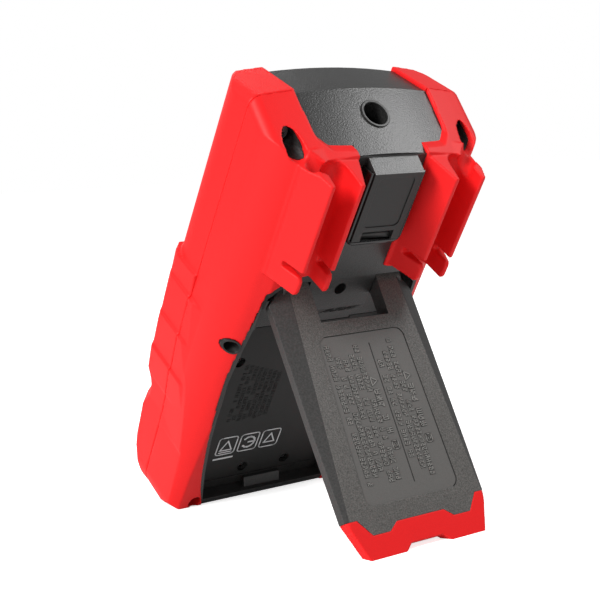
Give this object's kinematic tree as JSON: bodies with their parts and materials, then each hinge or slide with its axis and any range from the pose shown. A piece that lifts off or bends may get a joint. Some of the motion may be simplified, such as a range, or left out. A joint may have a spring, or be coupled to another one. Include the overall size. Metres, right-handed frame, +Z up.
{
  "type": "handheld digital multimeter",
  "caption": "Handheld digital multimeter in a two-part case with soft side grips, probe holders and an optical port on its back, standing on its fold-out tilt stand.",
  "frame": {"origin": "middle of the footprint box, on the surface that the stand's foot and the rear bottom corners stand on", "axes": "+Z up; the display looks towards -Y and up, the stand is on the +Y side; +X is to the right of a user who reads the display"},
  "size_m": [0.1022, 0.1548, 0.1805],
  "materials": {
    "red_tpe": "soft-touch matt, saturated red",
    "dark_abs": "fine spark-eroded grain",
    "collar_gloss": "polished",
    "satin_abs": "smooth satin",
    "lens_clear": "polished clear",
    "display": "smooth",
    "white_frame": "smooth",
    "circuit_board": "solder-masked",
    "key_rubber": "matt",
    "knob_plastic": "satin",
    "seal": "matt",
    "battery_sleeve": "printed sleeve",
    "fuse_body": "glazed ceramic",
    "steel": "zinc plated",
    "socket_brass": "turned",
    "socket_black": "smooth"
  },
  "bodies": {
    "case": {"rear_casing": "dark_abs", "rear_grip_right": "red_tpe", "rear_grip_left": "red_tpe", "middle_collars": "collar_gloss", "service_cover": "dark_abs", "service_cover_screws": "steel", "case_gasket": "seal", "port_housing": "collar_gloss", "port_cover": "satin_abs", "ir_board": "circuit_board", "bevel_collar": "collar_gloss", "bevel_screw": "steel", "front_casing": "dark_abs", "front_grip_right": "red_tpe", "front_grip_left": "red_tpe", "fascia": "satin_abs", "display_lens": "lens_clear", "lcd_panel": "display", "lcd_frame": "white_frame", "main_board": "circuit_board", "key_mat": "key_rubber", "batteries": "battery_sleeve", "battery_tray": "knob_plastic", "battery_contacts": "steel", "fuse_clips": "steel", "buzzer": "knob_plastic", "centre_screw": "steel", "hinge_pin_right": "steel", "hinge_pin_left": "steel", "fuse_high_current": "fuse_body", "fuse_low_current": "fuse_body", "case_screws_upper": "steel", "case_screws_middle": "steel", "case_screws_lower": "steel", "jack_sleeve_1": "socket_brass", "jack_shroud_1": "socket_black", "jack_sleeve_2": "socket_brass", "jack_shroud_2": "socket_black", "jack_sleeve_3": "socket_brass", "jack_shroud_3": "socket_black", "jack_sleeve_4": "socket_brass", "jack_shroud_4": "socket_black"},
    "stand": {"stand_plate": "dark_abs", "stand_foot": "red_tpe"},
    "selector": {"selector_knob": "knob_plastic", "knob_pointer": "white_frame", "selector_rotor": "circuit_board"},
    "button_1": {"key_1": "key_rubber"},
    "button_2": {"key_2": "key_rubber"},
    "button_3": {"key_3": "key_rubber"},
    "button_4": {"key_4": "key_rubber"},
    "button_5": {"key_5": "key_rubber"},
    "button_6": {"key_6": "key_rubber"},
    "button_7": {"key_7": "key_rubber"},
    "button_8": {"key_8": "key_rubber"}
  },
  "joints": [
    {"name": "stand_fold", "type": "hinge", "parent": "case", "child": "stand", "pos_m": [0, 0.02563, 0.0952], "axis": [-1, 0, 0], "range_deg": [0, 61.4]},
    {"name": "selector_turn", "type": "hinge", "parent": "case", "child": "selector", "pos_m": [0, -0.04442, 0.07454], "axis": [0, 0.8338, -0.552], "range_deg": [-120, 120]},
    {"name": "button_1_press", "type": "slide", "parent": "case", "child": "button_1", "axis": [0, 0.8338, -0.552], "range_m": [0, 0.0012], "stiffness_N_per_m": 800},
    {"name": "button_2_press", "type": "slide", "parent": "case", "child": "button_2", "axis": [0, 0.8338, -0.552], "range_m": [0, 0.0012], "stiffness_N_per_m": 800},
    {"name": "button_3_press", "type": "slide", "parent": "case", "child": "button_3", "axis": [0, 0.8338, -0.552], "range_m": [0, 0.0012], "stiffness_N_per_m": 800},
    {"name": "button_4_press", "type": "slide", "parent": "case", "child": "button_4", "axis": [0, 0.8338, -0.552], "range_m": [0, 0.0012], "stiffness_N_per_m": 800},
    {"name": "button_5_press", "type": "slide", "parent": "case", "child": "button_5", "axis": [0, 0.8338, -0.552], "range_m": [0, 0.0012], "stiffness_N_per_m": 800},
    {"name": "button_6_press", "type": "slide", "parent": "case", "child": "button_6", "axis": [0, 0.8338, -0.552], "range_m": [0, 0.0012], "stiffness_N_per_m": 800},
    {"name": "button_7_press", "type": "slide", "parent": "case", "child": "button_7", "axis": [0, 0.8338, -0.552], "range_m": [0, 0.0012], "stiffness_N_per_m": 800},
    {"name": "button_8_press", "type": "slide", "parent": "case", "child": "button_8", "axis": [0, 0.8338, -0.552], "range_m": [0, 0.0012], "stiffness_N_per_m": 800}
  ]
}
